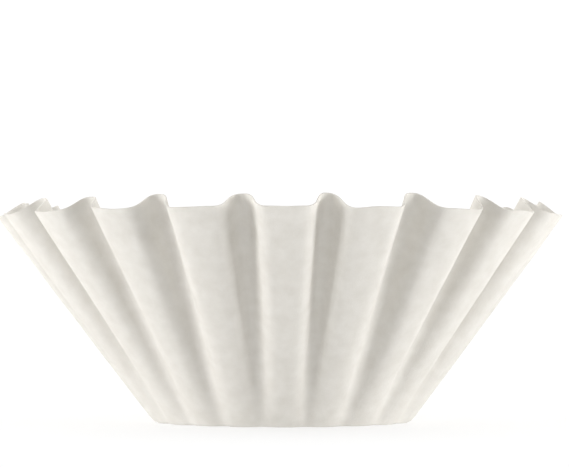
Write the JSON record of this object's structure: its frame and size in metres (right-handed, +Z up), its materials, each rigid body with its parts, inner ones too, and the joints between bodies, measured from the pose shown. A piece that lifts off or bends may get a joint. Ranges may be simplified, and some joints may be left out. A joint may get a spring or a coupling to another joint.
{
  "type": "paper coffee filter",
  "caption": "Fluted flat-bottomed paper coffee filter: a round white sheet pressed into a pleated, outward-leaning cup that stands on its base.",
  "frame": {"origin": "centre of the base's underside, on the surface that the filter stands on", "axes": "+Z up along the cup's axis, towards its mouth; a ridge faces -Y"},
  "size_m": [0.1132, 0.1132, 0.0444],
  "materials": {
    "paper": "matte"
  },
  "bodies": {
    "root": {"filter_paper": "paper"}
  },
  "joints": []
}
